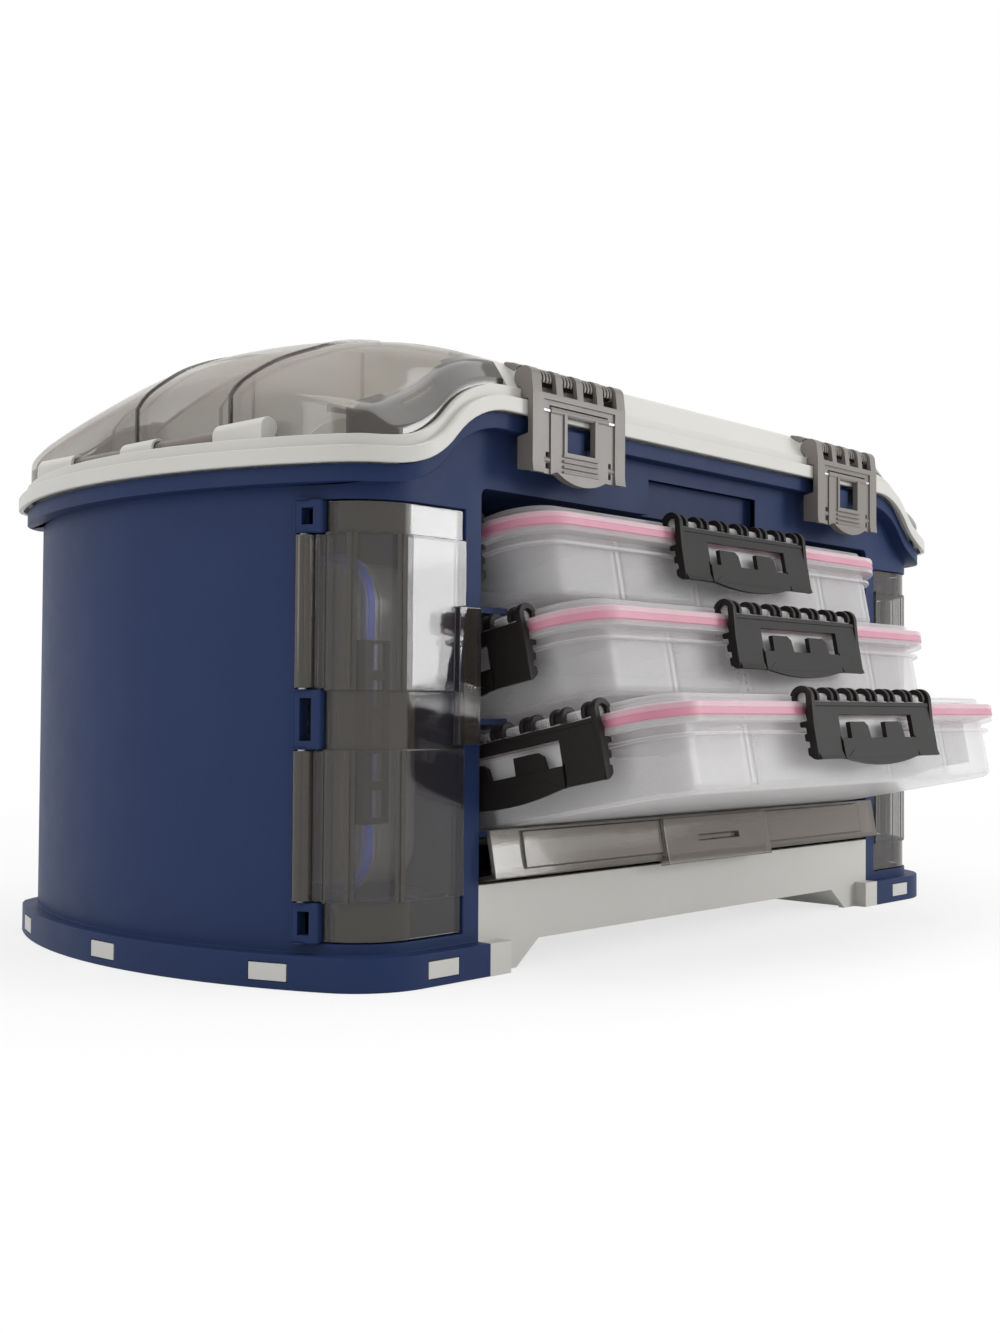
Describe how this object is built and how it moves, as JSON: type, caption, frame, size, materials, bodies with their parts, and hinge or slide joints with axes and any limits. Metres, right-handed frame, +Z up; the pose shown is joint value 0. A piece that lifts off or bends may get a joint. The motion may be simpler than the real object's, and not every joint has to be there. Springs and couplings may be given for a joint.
{
  "type": "tackle box",
  "caption": "Hard tackle box with slanted slide-out clear trays, smoked wrap-round side doors, domed lid windows, a pull-out cover and front latches",
  "frame": {"origin": "middle of the whole outline at rest, trays pulled out as modelled, on the floor the box stands on", "axes": "+Z up, +X along the case, -Y towards the front that the trays slide out of"},
  "size_m": [0.624, 0.4452, 0.334],
  "materials": {
    "blue_plastic": "textured satin",
    "white_plastic": "fine satin",
    "smoke_clear": "clear gloss",
    "tray_clear": "milky clear gloss",
    "charcoal_latch": "semi-gloss",
    "taupe_latch": "satin",
    "pink_seal": "smooth",
    "blue_seal": "smooth",
    "steel_pin": "plain"
  },
  "bodies": {
    "case": {"body_shell": "blue_plastic", "base_pan": "white_plastic", "rack_left": "blue_plastic", "rack_right": "blue_plastic", "top_deck": "white_plastic", "side_door_pin_left": "steel_pin", "side_door_pin_right": "steel_pin", "lid_hinge_pins": "steel_pin", "side_box_left_body": "tray_clear", "side_box_left_lid": "tray_clear", "side_box_left_gasket": "blue_seal", "side_box_left_latch": "charcoal_latch", "side_box_right_body": "tray_clear", "side_box_right_lid": "tray_clear", "side_box_right_gasket": "blue_seal", "side_box_right_latch": "charcoal_latch"},
    "lid": {"lid_frame": "white_plastic", "lid_bin_left": "white_plastic", "lid_bin_right": "white_plastic", "handle_pins": "steel_pin"},
    "window_left": {"window_left": "smoke_clear"},
    "window_right": {"window_right": "smoke_clear"},
    "handle": {"handle": "taupe_latch"},
    "latch_left": {"latch_frame_left": "taupe_latch", "latch_pin_left": "steel_pin"},
    "latch_right": {"latch_frame_right": "taupe_latch", "latch_pin_right": "steel_pin"},
    "lever_left": {"latch_lever_left": "taupe_latch"},
    "lever_right": {"latch_lever_right": "taupe_latch"},
    "side_door_left": {"side_door_left": "smoke_clear"},
    "side_door_right": {"side_door_right": "smoke_clear"},
    "front_cover": {"front_cover": "smoke_clear"},
    "tray_bottom": {"tray_bottom_body": "tray_clear", "tray_bottom_lid": "tray_clear", "tray_bottom_gasket": "pink_seal", "tray_bottom_dividers": "tray_clear", "tray_bottom_left_latch": "charcoal_latch", "tray_bottom_right_latch": "charcoal_latch"},
    "tray_bottom_catch": {"tray_bottom_front_latch": "charcoal_latch"},
    "tray_middle": {"tray_middle_body": "tray_clear", "tray_middle_lid": "tray_clear", "tray_middle_gasket": "pink_seal", "tray_middle_dividers": "tray_clear", "tray_middle_left_latch": "charcoal_latch", "tray_middle_right_latch": "charcoal_latch"},
    "tray_middle_catch": {"tray_middle_front_latch": "charcoal_latch"},
    "tray_top": {"tray_top_body": "tray_clear", "tray_top_lid": "tray_clear", "tray_top_gasket": "pink_seal", "tray_top_dividers": "tray_clear", "tray_top_left_latch": "charcoal_latch", "tray_top_right_latch": "charcoal_latch"},
    "tray_top_catch": {"tray_top_front_latch": "charcoal_latch"}
  },
  "joints": [
    {"name": "lid_hinge", "type": "hinge", "parent": "case", "child": "lid", "pos_m": [0, 0.21659, 0.279], "axis": [-1, 0, 0], "range_deg": [0, 100]},
    {"name": "handle_fold", "type": "hinge", "parent": "lid", "child": "handle", "pos_m": [0, 0.01959, 0.3234], "axis": [1, 0, 0], "range_deg": [0, 90]},
    {"name": "window_left_hinge", "type": "hinge", "parent": "lid", "child": "window_left", "pos_m": [-0.284, 0.04559, 0.263], "axis": [0, -1, 0], "range_deg": [0, 95]},
    {"name": "latch_left_hinge", "type": "hinge", "parent": "lid", "child": "latch_left", "pos_m": [-0.135, -0.11471, 0.2973], "axis": [-1, 0, 0], "range_deg": [0, 100]},
    {"name": "lever_left_hinge", "type": "hinge", "parent": "latch_left", "child": "lever_left", "pos_m": [-0.135, -0.12051, 0.281], "axis": [-1, 0, 0], "range_deg": [0, 45]},
    {"name": "side_door_left_hinge", "type": "hinge", "parent": "case", "child": "side_door_left", "pos_m": [-0.27516, -0.07101, 0.1245], "axis": [0, 0, -1], "range_deg": [0, 110]},
    {"name": "window_right_hinge", "type": "hinge", "parent": "lid", "child": "window_right", "pos_m": [0.284, 0.04559, 0.263], "axis": [0, 1, 0], "range_deg": [0, 95]},
    {"name": "latch_right_hinge", "type": "hinge", "parent": "lid", "child": "latch_right", "pos_m": [0.135, -0.11471, 0.2973], "axis": [-1, 0, 0], "range_deg": [0, 100]},
    {"name": "lever_right_hinge", "type": "hinge", "parent": "latch_right", "child": "lever_right", "pos_m": [0.135, -0.12051, 0.281], "axis": [-1, 0, 0], "range_deg": [0, 45]},
    {"name": "side_door_right_hinge", "type": "hinge", "parent": "case", "child": "side_door_right", "pos_m": [0.27516, -0.07101, 0.1245], "axis": [0, 0, 1], "range_deg": [0, 110]},
    {"name": "front_cover_slide", "type": "slide", "parent": "case", "child": "front_cover", "axis": [0, -0.9806, 0.1959], "range_m": [0, 0.18]},
    {"name": "tray_bottom_slide", "type": "slide", "parent": "case", "child": "tray_bottom", "axis": [0, -0.9806, 0.1959], "range_m": [-0.1037, 0.0463]},
    {"name": "tray_bottom_latch_hinge", "type": "hinge", "parent": "tray_bottom", "child": "tray_bottom_catch", "pos_m": [0, -0.20939, 0.13703], "axis": [-1, 0, 0], "range_deg": [0, 70]},
    {"name": "tray_middle_slide", "type": "slide", "parent": "case", "child": "tray_middle", "axis": [0, -0.9806, 0.1959], "range_m": [-0.0555, 0.0945]},
    {"name": "tray_middle_latch_hinge", "type": "hinge", "parent": "tray_middle", "child": "tray_middle_catch", "pos_m": [0, -0.16213, 0.18337], "axis": [-1, 0, 0], "range_deg": [0, 70]},
    {"name": "tray_top_slide", "type": "slide", "parent": "case", "child": "tray_top", "axis": [0, -0.9806, 0.1959], "range_m": [-0.02, 0.13]},
    {"name": "tray_top_latch_hinge", "type": "hinge", "parent": "tray_top", "child": "tray_top_catch", "pos_m": [0, -0.12732, 0.2322], "axis": [-1, 0, 0], "range_deg": [0, 70]}
  ]
}
